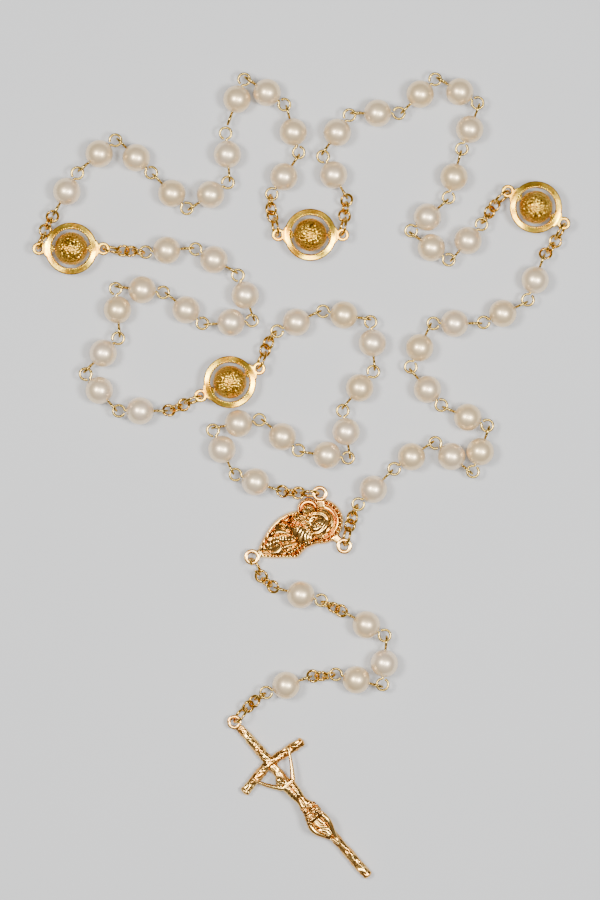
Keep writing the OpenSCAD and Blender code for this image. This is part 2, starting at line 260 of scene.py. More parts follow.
def tube(points, radii, sides=12, closed=False, twist=None):
    """A round tube along a path, with rounded ends unless it is closed. twist(along, angles), if
    given, returns the share by which each radius changes; along runs from 0 to 1."""
    points = np.asarray(points, float)
    radii = np.broadcast_to(np.asarray(radii, float), (len(points),)).copy()
    if not closed:
        lead = points[0] - points[1]
        tail = points[-1] - points[-2]
        lead, tail = lead / np.linalg.norm(lead), tail / np.linalg.norm(tail)
        caps = [(0.98, 0.18), (0.80, 0.60), (0.35, 0.92)]
        before = [points[0] + lead * radii[0] * 0.5 * f for _, f in reversed(caps)]
        after = [points[-1] + tail * radii[-1] * 0.5 * f for _, f in caps]
        ends = [s for s, _ in caps]
        radii = np.concatenate([radii[0] * np.array(ends[::-1]), radii, radii[-1] * np.array(ends)])
        points = np.concatenate([before, points, after])
    count = len(points)
    if closed:
        heading = np.roll(points, -1, 0) - np.roll(points, 1, 0)
    else:
        heading = np.gradient(points, axis=0)
    heading /= np.linalg.norm(heading, axis=1)[:, None]
    across = np.cross(heading[0], [0.13, 0.31, 0.94])
    across /= np.linalg.norm(across)
    angles = np.linspace(0, FULL_TURN, sides, endpoint=False)
    rows = []
    for i in range(count):
        across = across - heading[i] * (across @ heading[i])
        across /= np.linalg.norm(across)
        up = np.cross(heading[i], across)
        ring = np.cos(angles)[:, None] * across + np.sin(angles)[:, None] * up
        share = 1.0 if twist is None else twist(i / (count - 1), angles)[:, None]
        rows.append(points[i] + ring * radii[i] * share)
    verts = np.concatenate(rows)
    faces = grid_faces(count, sides, close_rows=closed, close_cols=True).tolist()
    if not closed:
        faces.append(list(range(sides))[::-1])
        faces.append([(count - 1) * sides + i for i in range(sides)])
    return verts, faces


def lathe(profile, count):
    """A closed profile of (radius, height) turned round Z."""
    profile = np.asarray(profile, float)
    angle = np.linspace(0, FULL_TURN, count, endpoint=False)[:, None]
    r = np.broadcast_to(profile[None, :, 0], (count, len(profile)))
    z = np.broadcast_to(profile[None, :, 1], (count, len(profile)))
    verts = np.stack([r * np.cos(angle), r * np.sin(angle), z + 0 * angle], -1).reshape(-1, 3)
    return verts, grid_faces(count, len(profile), close_rows=True, close_cols=True)


def ball_on_wire(radius, bore, around, along, bumps=None):
    """A ball whose bore runs along X, with a softened lip. bumps(direction) adds to its radius."""
    lip = math.asin((bore + 0.12) / radius)
    tilt = np.linspace(lip, math.pi - lip, along)
    rows = [(radius * math.cos(t), radius * math.sin(t)) for t in tilt]
    end = radius * math.cos(lip)
    mouth = [(end - 0.35, bore), (end - 0.1, bore + 0.01)]
    rows = mouth + rows + [(-x, r) for x, r in reversed(mouth)]
    angle = np.linspace(0, FULL_TURN, around, endpoint=False)
    rows = np.array(rows)
    x = np.repeat(rows[:, 0], around)
    r = np.repeat(rows[:, 1], around)
    turn = np.tile(angle, len(rows))
    verts = np.stack([x, r * np.cos(turn), r * np.sin(turn)], 1)
    if bumps is not None:
        for i in range(2 * around, len(verts) - 2 * around):
            verts[i] *= 1 + bumps(Vector(verts[i])) / radius
    return verts, grid_faces(len(rows), around, close_rows=True, close_cols=True)


def turned(heading, at):
    """A place with its X turned to a heading."""
    return Matrix.Translation(at) @ Matrix.Rotation(heading, 4, "Z")


# ---- Finding pieces in the CAD meshes ----


def islands(node):
    """The corner points of each separate solid of a CAD node, in millimetres."""
    mesh = bmesh.new()
    mesh.from_mesh(frame["nodes"][node].data)
    bmesh.ops.remove_doubles(mesh, verts=mesh.verts, dist=1e-6)
    found, seen = [], set()
    for start in mesh.verts:
        if start in seen:
            continue
        seen.add(start)
        group, todo = [], [start]
        while todo:
            v = todo.pop()
            group.append(v.co / MM)
            for edge in v.link_edges:
                other = edge.other_vert(v)
                if other not in seen:
                    seen.add(other)
                    todo.append(other)
        found.append(np.array(group))
    mesh.free()
    return found


def middle(points):
    """Middle of the box round a cloud of points."""
    return (points.min(0) + points.max(0)) / 2


def spread(points):
    """Directions of a cloud of points, from the narrowest to the widest."""
    return np.linalg.eigh(np.cov((points - points.mean(0)).T))[1].T


def long_axis(points):
    """Heading of the widest way of a flat-lying solid, and its middle."""
    way = spread(points[:, :2])[-1]
    side = np.array([-way[1], way[0]])
    along, across = points[:, :2] @ way, points[:, :2] @ side
    centre = (along.min() + along.max()) / 2 * way + (across.min() + across.max()) / 2 * side
    return way, centre


def flat_place(node, height):
    """Place of a node that lies flat, with X along its widest way."""
    way, at = long_axis(np.concatenate(islands(node)))
    return turned(math.atan2(way[1], way[0]), (at[0], at[1], height))


# A solid longer than this is a pin; the others in its node are rings
PIN_LENGTH = 8.0


def pins_and_rings(node):
    """Pins as (middle, heading) and rings as (middle, normal, outer radius) of a CAD node."""
    pins, rings = [], []
    for points in islands(node):
        centre = middle(points)
        reach = np.linalg.norm(points - centre, axis=1).max()
        if 2 * reach < PIN_LENGTH:
            rings.append((centre, spread(points)[0], reach))
            continue
        way, at = long_axis(points)
        along = (points[:, :2] - at) @ way
        tall = [np.ptp(points[s * along > EYE_REACH - 0.6, 2]) for s in (-1, 1)]
        if tall[1] > tall[0]:
            way = -way
        pins.append((np.array([at[0], at[1], BEAD_R]), math.atan2(way[1], way[0])))
    return pins, rings


# ---- Wires ----


EYE_ARC = np.radians(np.linspace(206, 514, 34))


def eye_path(upright):
    """From the middle of a pin out to the free end of its eye, which nearly meets the shank."""
    loop = np.stack([EYE_REACH + LOOP_R * np.cos(EYE_ARC), LOOP_R * np.sin(EYE_ARC)], 1)
    a = np.array([EYE_REACH - LOOP_R - 0.5, 0])
    b = np.array([EYE_REACH - LOOP_R + 0.02, 0])
    t = np.linspace(0, 1, 6)[:-1, None]
    bend = (1 - t) ** 2 * a + 2 * t * (1 - t) * b + t * t * loop[0]
    flat = np.concatenate([[[0.6, 0], [1.8, 0]], bend, loop])
    zero = np.zeros(len(flat))
    if upright:
        return np.stack([-flat[:, 0], zero, flat[:, 1]], 1)
    return np.stack([flat[:, 0], flat[:, 1], zero], 1)


PIN_PATH = np.concatenate([eye_path(True)[::-1], eye_path(False)])
PIN_MESH = tube(PIN_PATH, PIN_WIRE_R)


def ring_mesh(outer, gap):
    """A wire ring in the XY plane, cut at +X; gap is the width of the cut."""
    r = outer - WIRE_R
    half = gap / 2 / r
    turn = np.linspace(half, FULL_TURN - half, 48)
    path = np.stack([r * np.cos(turn), r * np.sin(turn), 0.02 * np.cos(turn / 2)], 1)
    return tube(path, WIRE_R)


# Width of the cut in a ring, and of the one jump ring that is pulled open
CUT = 0.34
OPEN_CUT = 1.7
OPEN_RING_NODE = "pendant_pin_upper"
# A ring with a larger outer radius than this is a jump ring
JUMP_OUTER = 2.0


def ring_place(centre, normal):
    """Ring's frame: its cut is turned to the ring's highest point."""
    normal = Vector(normal).normalized()
    top = Vector((0, 0, 1)) - normal * normal.z
    if top.length < 1e-3:
        top = Vector((1, 0, 0))
    top.normalize()
    side = normal.cross(top)
    return Matrix.Translation(Vector(centre)) @ Matrix((top, side, normal)).transposed().to_4x4()


def build_wires(node):
    """Eye pins and rings of a CAD node; returns where its pins are."""
    soup = Soup()
    pins, rings = pins_and_rings(node)
    for at, heading in pins:
        soup.add(*PIN_MESH, place=turned(heading, at))
    for centre, normal, outer in rings:
        is_open = node == OPEN_RING_NODE and outer > JUMP_OUTER
        ring = ring_mesh(outer, OPEN_CUT if is_open else CUT)
        soup.add(*ring, place=ring_place(centre, normal), finish=1)
    stand_for(make_piece(node + "_wires", soup, ["wire_gold", "chain_gold"]), node)
    return pins


# ---- Pearls ----

BEAD_BORE_R = 0.4
PEARL_MESH = ball_on_wire(BEAD_R, BEAD_BORE_R, 48, 30)


def any_roll():
    """A turn about the wire, which differs from bead to bead."""
    return Matrix.Rotation(rng.uniform(0, 6.28), 4, "X")


def build_pearls(node, pins):
    soup = Soup()
    for at, heading in pins:
        place = turned(heading, at) @ any_roll()
        soup.add(*PEARL_MESH, place=place, value=rng.uniform(0, 1))
    stand_for(make_piece(node + "_nacre", soup, ["pearl"], "tone"), node)


# ---- Sheets cut from a height field ----

# Width of a cell of the height fields
CELL = 0.05


def onto_outline(x, y, inside):
    """Grid points just outside an outline, moved onto it, so that the cut edge is smooth."""
    down, across = np.gradient(inside, CELL)
    steep = down ** 2 + across ** 2 + 0.05
    out = np.clip(inside, -1.5 * CELL, 0)
    return x - out * across / steep, y - out * down / steep


def edge_roll(inside, width):
    """Share of the full height near an edge, which rounds off over that width."""
    return np.sin(np.clip(inside / width, 0, 1) * math.pi / 2)


def cut_sheet(soup, x, y, inside, top, bottom, place, painted_recess_shade=None):
    """A closed sheet between two heights, over the grid cells that reach inside the outline."""
    rows, cols = x.shape
    keep = inside > 0
    cells = keep[:-1, :-1] | keep[1:, :-1] | keep[:-1, 1:] | keep[1:, 1:]
    faces = grid_faces(rows, cols)[cells.reshape(-1)]
    used = np.unique(faces)
    index = np.full(rows * cols, -1)
    index[used] = np.arange(len(used))
    flat = np.stack([x.reshape(-1)[used], y.reshape(-1)[used]], 1)
    upper = np.column_stack([flat, top.reshape(-1)[used]])
    lower = np.column_stack([flat, bottom.reshape(-1)[used]])
    faces = index[faces]
    under = faces[:, ::-1] + len(used)
    sides = np.concatenate([faces[:, [i, (i + 1) % 4]] for i in range(4)])
    keys = {(a, b) for a, b in sides.tolist()}
    walls = [[a, a + len(used), b + len(used), b] for a, b in sorted(keys) if (b, a) not in keys]
    # The top face carries the painted shade of the hollows; the under face none
    value = np.zeros(2 * len(used))
    if painted_recess_shade is not None:
        value[:len(used)] = painted_recess_shade.reshape(-1)[used]
    soup.add(np.concatenate([upper, lower]), faces.tolist() + under.tolist() + walls, place, value)


# ---- Medallions ----

RING_IN = 4.25
RING_OUT = 5.66
EAR_R = 1.4
EAR_HOLE = 0.7
NECK_HALF = 0.95
# Half width of the tab that holds the ball's pin, and how far in it reaches
TAB_HALF = 0.75
TAB_IN = 3.85
PIN_END = 4.3
SHEET_HALF = 0.2
# Half sizes of the height field that a medallion is cut from
FIELD_X = 8.6
FIELD_Y = 5.9
MILL_TEETH = 60
MILL_DEEP = 0.06
# How far the inner edge of the ring stands above its outer edge
RING_RISE = 0.30


def washer(outer, hole, half):
    """A flat ring with soft edges, middle at the origin."""
    mid, wide = (outer + hole) / 2, (outer - hole) / 2
    turn = np.linspace(0, FULL_TURN, 16, endpoint=False)
    power = 0.55
    c, s = np.cos(turn), np.sin(turn)
    section = [(mid + wide * np.sign(a) * abs(a) ** power, half * np.sign(b) * abs(b) ** power)
               for a, b in zip(c, s)]
    return lathe(section, 40)


def slab(a, b, width_a, width_b, thick, lift=(0, 0)):
    """A strap from a to b along X with rounded long edges; its middle height is lift."""
    rings, sides = 9, 20
    turn = np.linspace(0, FULL_TURN, sides, endpoint=False)
    c, s = np.cos(turn), np.sin(turn)
    rows = []
    for t in np.linspace(0, 1, rings):
        end = min(1.0, math.sqrt(max(0.0, 1 - (2 * t - 1) ** 8)) + 0.55)
        half = (width_a + (width_b - width_a) * t) / 2 * end
        y = half * np.sign(c) * np.abs(c) ** 0.4
        z = thick / 2 * end * np.sign(s) * np.abs(s) ** 0.6 + lift[0] + (lift[1] - lift[0]) * t
        rows.append(np.stack([np.full(sides, a + (b - a) * t), y, z], 1))
    faces = grid_faces(rings, sides, close_cols=True).tolist()
    faces += [list(range(sides))[::-1], [(rings - 1) * sides + i for i in range(sides)]]
    return np.concatenate(rows), faces


def medallion_outline(x, y):
    """Distance inside the ring, its two necks and its two ears, less the ears' holes."""
    r = np.hypot(x, y)
    x, y = np.abs(x), np.abs(y)
    ring = np.minimum(r - RING_IN, RING_OUT - r)
    flare = NECK_HALF + 0.9 * np.exp(-((x - RING_OUT + 0.3) / 0.45) ** 2) * (x > 5)
    neck = np.minimum(np.minimum(flare - y, x - RING_IN), EAR_SPAN / 2 - x)
    tab = np.minimum(TAB_HALF - y, np.minimum(x - TAB_IN, RING_OUT - x))
    ear = np.hypot(x - EAR_SPAN / 2, y)
    return np.minimum(np.maximum.reduce([ring, neck, tab, EAR_R - ear]), ear - EAR_HOLE)


def medallion_height(x, y, phase):
    """Middle height of the sheet: it rises inward, more in some places, as pressed sheet does."""
    r = np.hypot(x, y)
    turn = np.arctan2(y, x)
    rise = RING_RISE + 0.13 * np.sin(2 * turn + phase) + 0.05 * np.sin(5 * turn + 2 * phase)
    slope = rise * (RING_OUT - 0.1 - r) / (RING_OUT - RING_IN)
    tooth = np.cos(MILL_TEETH * turn) * np.clip((RING_IN + 0.32 - r) / 0.1, 0, 1)
    return 0.5 * (slope + np.sqrt(slope ** 2 + 0.004)) + MILL_DEEP * tooth


def build_medallion(node):
    place = flat_place(node, BALL_R)
    phase = rng.uniform(0, 6.28)
    soup = Soup()
    x, y = np.meshgrid(np.arange(-FIELD_X, FIELD_X, CELL), np.arange(-FIELD_Y, FIELD_Y, CELL))
    inside = medallion_outline(x, y)
    x, y = onto_outline(x, y, inside)
    height = medallion_height(x, y, phase)
    half = SHEET_HALF * (0.4 + 0.6 * edge_roll(medallion_outline(x, y), 0.2))
    cut_sheet(soup, x, y, inside, height + half, height - half, place)
    soup.add(*tube([(-PIN_END, 0, 0), (0, 0, 0), (PIN_END, 0, 0)], WIRE_R), place=place)
    stand_for(make_piece(node + "_dish", soup, ["frame_gold"]), node)


# Grains to the millimetre, and how far they stand out
GRAINS = 1.7
GRAIN_TALL = 0.2
GRAIN_BASE = BALL_R - GRAIN_TALL
BALL_BORE_R = 0.35


def grain_bumps(p):
    """Little rounded grains, packed side by side, as on a sugared surface."""
    near = noise.voronoi(p * GRAINS)[0]
    return GRAIN_TALL * min(1.0, 1.9 * (near[1] - near[0])) ** 0.6


BALL_MESH = ball_on_wire(GRAIN_BASE, BALL_BORE_R, 230, 150, grain_bumps)
# Painted shade: 1 deep in the grooves between the grains, 0 on their tops
BALL_GROOVE_SHADE = np.clip(1 - (np.linalg.norm(BALL_MESH[0], axis=1) - GRAIN_BASE) / 0.11, 0, 1)


def build_ball(node):
    place = flat_place(node.replace("_ball", "_frame"), 0)
    place.translation = middle(np.concatenate(islands(node)))
    soup = Soup()
    # The grooves between the grains get painted shade through this value
    soup.add(*BALL_MESH, place=place @ any_roll(), value=0.8 * BALL_GROOVE_SHADE)
    stand_for(make_piece(node + "_grains", soup, ["ball_gold"]), node)


# ---- Centrepiece ----

PLATE = [
    (0.9, -8.2), (2.2, -5.8), (4.4, -1.0), (4.4, -0.4), (3.9, 0.6), (3.4, 2), (3.6, 5), (-2, 7),
    (-5, 4), (-5.4, 2.4), (-5.5, 1), (-5.35, -0.4), (-5, -1.8), (-4.4, -3.2), (-3.5, -4.7),
    (-2.2, -6.4), (-0.6, -8.2), (0.2, -8.6)
]
HALO = (-0.7, 7.2)
HALO_R = 5.0
HALO_BEADS = 26
HALO_BEAD_ROW = 4.35
CHILD_HALO = (-4.3, 5.9)
CHILD_HALO_R = 2.5
# Heights of the sunk field, of the rim over it and of the halo's disc
FIELD_Z = 1.3
RIM_TALL = 0.72
HALO_Z = 1.45


def outline_distance(x, y, outline):
    """Distance to a closed outline, positive inside."""
    best = np.full(x.shape, 1e9)
    inside = np.zeros(x.shape, bool)
    for (ax, ay), (bx, by) in zip(outline, outline[1:] + outline[:1]):
        dx, dy = bx - ax, by - ay
        t = np.clip(((x - ax) * dx + (y - ay) * dy) / (dx * dx + dy * dy), 0, 1)
        best = np.minimum(best, np.hypot(x - ax - t * dx, y - ay - t * dy))
        crosses = (ay > y) != (by > y)
        with np.errstate(divide="ignore", invalid="ignore"):
            inside ^= crosses & (x < ax + (y - ay) * dx / (dy if dy else 1e-9))
    return np.where(inside, best, -best)


def step(x, low, high):
    """0 below low and 1 above high, with a soft way between."""
    t = np.clip((x - low) / (high - low), 0, 1)
    return t * t * (3 - 2 * t)


def egg(x, y, at, size, turn=0.0):
    """Height share of a rounded mound, 1 at its middle and 0 at its edge."""
    c, s = math.cos(turn), math.sin(turn)
    u = ((x - at[0]) * c + (y - at[1]) * s) / size[0]
    v = (-(x - at[0]) * s + (y - at[1]) * c) / size[1]
    return np.sqrt(np.clip(1 - u * u - v * v, 0, None))


def mound(z, x, y, at, size, base, tall, turn=0.0):
    """Raises a mound out of z."""
    e = egg(x, y, at, size, turn)
    return np.where(e > 0, np.maximum(z, base + tall * e), z)


def crease(z, x, y, a, b, width, deep):
    """Presses a soft groove, or raises a ridge where deep is negative, along a line."""
    dx, dy = b[0] - a[0], b[1] - a[1]
    t = np.clip(((x - a[0]) * dx + (y - a[1]) * dy) / (dx * dx + dy * dy), 0, 1)
    d = np.hypot(x - a[0] - t * dx, y - a[1] - t * dy)
    return z - deep * np.exp(-((d / width) ** 2))


def face(z, x, y, at, size, turn):
    """A plain oval face with even features, drawn on common proportions."""
    c, s = math.cos(turn), math.sin(turn)

    def spot(u, v):
        return (at[0] + size * (u * c - v * s), at[1] + size * (u * s + v * c))

    for side in (-1, 1):
        z = crease(z, x, y, spot(side * 0.22, 0.06), spot(side * 0.52, 0.04), size * 0.13, 0.16 * size)
        z = crease(z, x, y, spot(side * 0.2, 0.26), spot(side * 0.56, 0.2), size * 0.09, -0.07 * size)
    z = crease(z, x, y, spot(0, 0.14), spot(0, -0.26), size * 0.11, -0.16 * size)
    z = crease(z, x, y, spot(-0.18, -0.5), spot(0.18, -0.5), size * 0.07, 0.09 * size)
    z = crease(z, x, y, spot(-0.12, -0.62), spot(0.12, -0.62), size * 0.08, -0.05 * size)
    return z


def ripple(z, x, y, at, pitch, deep):
    """Soft folds that run round a point, with a little waver."""
    d = np.hypot(x - at[0], (y - at[1]) * 0.9)
    turn = np.arctan2(y - at[1], x - at[0])
    return z + deep * np.sin(FULL_TURN * d / pitch + 0.8 * np.sin(3 * turn))


def raised_ring(z, d, radius, wide, base, tall):
    """Raises a round-topped ring; d is the distance from its middle."""
    ring = np.sqrt(np.clip(1 - ((d - radius) / wide) ** 2, 0, None))
    return np.where(ring > 0, np.maximum(z, base + tall * ring), z)


def field_and_rim(edge):
    """The sunk field of the plate inside its polished rim."""
    z = FIELD_Z + 0 * edge
    rim = np.sqrt(np.clip(1 - ((edge - 0.44) / 0.5) ** 4, 0, None))
    return np.where((edge > -0.05) & (rim > 0), np.maximum(z, FIELD_Z + RIM_TALL * rim), z)


def robe(z, x, y, edge):
    """Drapery that fans out from the shoulder, in long soft folds, with three heavier ones."""
    fan = np.arctan2(y - 4.6, x - 1.2)
    reach = np.hypot(y - 4.6, x - 1.2)
    field = step(edge, 0.75, 1.3)
    folds = np.sin(fan * 13 + 0.4 * np.sin(reach * 1.1)) * step(reach, 1.5, 4.0)
    z = z + field * (0.40 * folds + 0.4 - 0.03 * reach)
    heavy = [((-4.6, 0.4), (-2.4, 3.2)), ((-4.2, -1.4), (-1.6, 2.4)), ((-2.4, -4.6), (-0.4, 0.8))]
    for a, b in heavy:
        z = np.where(field > 0, crease(z, x, y, a, b, 0.3, -0.28), z)
    return np.where(field > 0, crease(z, x, y, (-3.2, -2.9), (2.8, -2.6), 0.25, 0.2), z)


def large_halo(z, x, y, halo):
    """Plain disc with a row of beads between two thin rims."""
    disc = halo < HALO_R
    z = np.where(disc, HALO_Z, z)
    share = np.arctan2(y - HALO[1], x - HALO[0]) * HALO_BEADS / FULL_TURN
    along = (np.mod(share, 1) - 0.5) * (FULL_TURN * 4.4 / HALO_BEADS)
    bead = np.sqrt(np.clip(1 - (along / 0.46) ** 2 - ((halo - HALO_BEAD_ROW) / 0.42) ** 2, 0, None))
    z = np.where(disc, np.maximum(z, 1.4 + 0.5 * bead), z)
    z = raised_ring(z, halo, 3.75, 0.26, 1.4, 0.62)
    return raised_ring(z, halo, 4.85, 0.17, 1.4, 0.5)


def small_halo(z, small):
    """Plain sunk disc with a raised edge."""
    z = np.where(small < CHILD_HALO_R, 1.2, z)
    return raised_ring(z, small, 2.2, 0.28, 1.5, 0.5)


def larger_figure(z, x, y, halo):
    """Arm, shoulders and veiled, bowed head."""
    z = mound(z, x, y, (1.0, 2.9), (2.6, 2.2), 1.3, 1.3, 0.5)
    z = mound(z, x, y, (-0.6, 2.2), (3.1, 1.9), 1.3, 1.25, 0.25)
    z = mound(z, x, y, (-0.3, 6.9), (3.45, 3.5), 1.3, 1.45, 0.3)
    z = mound(z, x, y, (0.35, 6.7), (2.6, 2.8), 1.5, 1.6, 0.3)
    # Folds of the veil, from its outer edge down to the shoulder
    for k in range(5):
        top, low = 0.34 * k - 0.55, 0.34 * k - 0.85
        start = (0.35 + 2.55 * math.cos(top), 6.5 + 2.6 * math.sin(top))
        end = (0.9 + 1.5 * math.cos(low), 3.4 + 1.2 * math.sin(low))
        z = crease(z, x, y, start, end, 0.13, 0.2)
    veil = (z > 1.75) & (halo < 3.7)
    z = np.where(veil, ripple(z, x, y, (-0.9, 6.2), 1.05, 0.10), z)
    shoulders = (z > 1.6) & (y < 4.6) & (x > -3.4)
    z = np.where(shoulders, ripple(z, x, y, (2.6, 5.2), 1.25, 0.13), z)
    z = mound(z, x, y, (-0.5, 6.5), (1.45, 1.85), 1.9, 1.45, 0.35)
    return face(z, x, y, (-0.7, 6.35), 1.5, 0.38)


def smaller_figure(z, x, y, small):
    """A wrapped child with short curls, and an arm that reaches across."""
    z = mound(z, x, y, (-2.9, 3.3), (1.7, 2.3), 1.4, 1.1, -0.35)
    wrap = (z > 1.6) & (x < -1.6) & (y < 5) & (y > 1.4)
    z = np.where(wrap, ripple(z, x, y, (-4.6, 5.6), 0.75, 0.13), z)
    z = mound(z, x, y, (-4.1, 5.8), (1.45, 1.5), 1.5, 1.35, -0.2)
    curls = (small < 1.5) & (z > 1.9)
    z = np.where(curls, z + 0.09 * np.sin(x * 15 + 2 * np.sin(y * 6)) * np.sin(y * 14), z)
    z = mound(z, x, y, (-3.95, 5.55), (1.05, 1.25), 1.9, 1.15, -0.2)
    z = face(z, x, y, (-3.9, 5.5), 1.0, -0.35)
    return mound(z, x, y, (-2.0, 4.5), (1.3, 0.5), 1.5, 1.2, 0.5)


def holding_hand(z, x, y):
    """Four fingers round the smaller figure."""
    for k in range(4):
        z = mound(z, x, y, (-3.4 + 0.28 * k, 1.75 - 0.30 * k), (0.95, 0.2), 1.5, 1.15, 0.75)
    return z


def distances(x, y):
    """How far a point lies inside the plate's edge, and how far from the middle of each halo."""
    halo = np.hypot(x - HALO[0], y - HALO[1])
    small = np.hypot(x - CHILD_HALO[0], y - CHILD_HALO[1])
    return outline_distance(x, y, PLATE), halo, small


def inside_relief(x, y):
    """How far a point lies inside the outline of plate and haloes together."""
    edge, halo, small = distances(x, y)
    return np.maximum.reduce([edge, HALO_R - halo, CHILD_HALO_R - small])


def relief(x, y):
    """Height of the centrepiece over its own XY plane."""
    edge, halo, small = distances(x, y)
    z = robe(field_and_rim(edge), x, y, edge)
    z = small_halo(large_halo(z, x, y, halo), small)
    z = larger_figure(z, x, y, halo)
    return holding_hand(smaller_figure(z, x, y, small), x, y)


def blurred(z, steps):
    """Heights averaged with their neighbours, that many times."""
    for _ in range(steps):
        p = np.pad(z, 1, mode="edge")
        z = (p[:-2, 1:-1] + p[2:, 1:-1] + p[1:-1, :-2] + p[1:-1, 2:] + 2 * z) / 6
    return z


def build_centrepiece(node):
    place = Matrix.Rotation(CENTRE_HEADING - math.pi / 2, 4, "Z")
    x, y = np.meshgrid(np.arange(-7.4, 5.2, CELL), np.arange(-9, 12.6, CELL))
    inside = inside_relief(x, y)
    x, y = onto_outline(x, y, inside)
    z = blurred(relief(x, y), 3)
    # Painted shade: darker colour where the relief lies below its blurred neighbourhood, in hollows and
    # creases
    painted_recess_shade = np.clip((blurred(z, 40) - z) / 0.15, 0, 1)
    top = z * (0.3 + 0.7 * edge_roll(inside_relief(x, y), 0.45))
    soup = Soup()
    cut_sheet(soup, x, y, inside, top, 0 * z + 0.02, place, painted_recess_shade)
    for at, heading, length in CENTRE_EARS:
        ear = place @ turned(math.radians(heading), (*at, CENTRE_EAR_Z))
        soup.add(*washer(1.73, 0.88, 0.38), place=ear)
        soup.add(*slab(1.35, 1.35 + length, 1.5, 2.0, 0.5, (0, -0.15)), place=ear)
    stand_for(make_piece(node + "_relief", soup, ["cast_gold"]), node)


# ---- Crucifix ----


def bark(seed, length):
    """Long shallow grooves, chips and knots, for a tube of that length."""
    def share(row, angles):
        z = row * length
        out = []
        for a in angles:
            c, s = math.cos(a), math.sin(a)
            groove = noise.noise(Vector((c * 1.4, s * 1.4, z * 0.22 + seed)))
            chip = noise.noise(Vector((c * 2.3, s * 2.3, z * 0.95 + seed)))
            fleck = noise.noise(Vector((c * 4.5, s * 4.5, z * 2.1 + seed)))
            out.append(0.98 + 0.11 * groove + 0.17 * chip + 0.10 * fleck)
        return np.array(out)
    return share


def bent(points, count):
    """A smooth path of count points through a few, by Catmull-Rom."""
    p = np.asarray(points, float)
    p = np.concatenate([[2 * p[0] - p[1]], p, [2 * p[-1] - p[-2]]])
    out = []
    for u in np.linspace(0, len(points) - 1 - 1e-6, count):
        i, t = int(u), u % 1
        a, b, c, d = p[i:i + 4]
        out.append(0.5 * (2 * b + (c - a) * t + (2 * a - 5 * b + 4 * c - d) * t * t
                          + (3 * b - a - 3 * c + d) * t ** 3))
    return np.array(out)


def widths(radii, count):
    """Radii at count points, led smoothly through a few."""
    return bent([(r, 0, 0) for r in radii], count)[:, 0]


def cross_place(node):
    """Frame of the cross: its ear's middle on the table, head up along Y."""
    points = np.concatenate(islands(node))[:, :2]
    down = np.array([math.cos(CROSS_HEADING), math.sin(CROSS_HEADING)])
    side = np.array([-down[1], down[0]])
    along = (points @ down).min() + CROSS_EAR_R
    across = ((points @ side).min() + (points @ side).max()) / 2
    at = along * down + across * side
    return turned(CROSS_HEADING + math.pi / 2, (at[0], at[1], 0))


def cross_bar():
    """Middle line of the bar, whose ends droop."""
    half = BAR_LEN / 2 - 0.5
    drop = [(-half, -0.8, 0), (-half / 2, -0.05, 0), (0, 0.35, 0.1), (half / 2, -0.1, 0),
            (half, -0.7, 0)]
    return bent([(x, BAR_Y + y, LOG_R + z) for x, y, z in drop], 130)


def cross_shaft():
    """Middle line of the shaft, a little crooked, and its radius along the way."""
    bow = [(0, -1.7), (0.1, -7), (0, BAR_Y), (-0.15, -24), (0.05, -35), (0, 0.5 - CROSS_LEN)]
    return bent([(x, y, LOG_R) for x, y in bow], 330), widths((0.86, 1.08, 1.12, 1.06, 1.1, 1.06), 330)


def build_cross(node, place):
    soup = Soup()
    shaft, wide = cross_shaft()
    for path, radii, seed, length in [(shaft, wide, 0, CROSS_LEN), (cross_bar(), 1.06, 31, BAR_LEN)]:
        verts, faces = tube(path, radii, 44, twist=bark(seed, length))
        verts[:, 2] = np.maximum(verts[:, 2], 0.02)
        soup.add(verts, faces, place=place)
    ear = place @ Matrix.Translation((0, 0, CROSS_EAR_Z))
    soup.add(*washer(1.58, 0.82, 0.36), place=ear)
    neck = ear @ Matrix.Rotation(-math.pi / 2, 4, "Z")
    soup.add(*slab(1.25, 2.6, 1.3, 1.8, 0.5, (0, -0.1)), place=neck)
    stand_for(make_piece(node + "_bark", soup, ["cast_gold"]), node)


# Cell of the skin that joins the parts of the figure
VOXEL = 0.075
HEAD = (-0.85, -16.2, 3.75)
HEAD_TURN = 0.42

# Limbs of the figure, as (path, radii), head up along Y over the shaft
LIMBS = [
    ([(4.9, -12.5, 2.7), (3.4, -15.0, 2.95), (1.5, -17.7, 3.15)], [0.30, 0.40, 0.58]),
    ([(-4.9, -12.5, 2.7), (-3.5, -15.1, 2.95), (-1.6, -17.6, 3.15)], [0.32, 0.45, 0.60]),
    ([(5.05, -11.9, 2.65), (4.85, -12.7, 2.7)], [0.36, 0.32]),
    ([(-5.05, -11.9, 2.65), (-4.85, -12.7, 2.7)], [0.36, 0.32]),
    ([(1.35, -17.8, 3.1), (-1.45, -17.8, 3.1)], [0.72, 0.72]),
    ([(0.55, -18.3, 3.05), (0.4, -20.4, 3.0), (0.3, -22.3, 2.85), (0.45, -24.4, 3.0)],
     [1.0, 0.98, 0.74, 0.95]),
    ([(-0.65, -18.3, 3.05), (-0.55, -20.4, 3.0), (-0.5, -22.3, 2.85), (-0.75, -24.4, 3.0)],
     [1.0, 0.98, 0.74, 0.95]),
    ([(0.55, -24.9, 3.1), (1.5, -29.0, 3.9), (0.35, -33.3, 2.85)], [0.95, 0.66, 0.38]),
    ([(-0.85, -24.9, 3.1), (-2.3, -28.9, 3.9), (-0.45, -33.2, 2.85)], [0.95, 0.66, 0.38]),
    ([(0.3, -33.2, 2.8), (0.0, -34.9, 2.75)], [0.42, 0.36]),
    ([(-0.4, -33.2, 2.95), (-0.1, -34.7, 3.05)], [0.42, 0.34]),
    ([(-0.1, -17.9, 3.2), (-0.5, -16.9, 3.4)], [0.52, 0.50]),
]
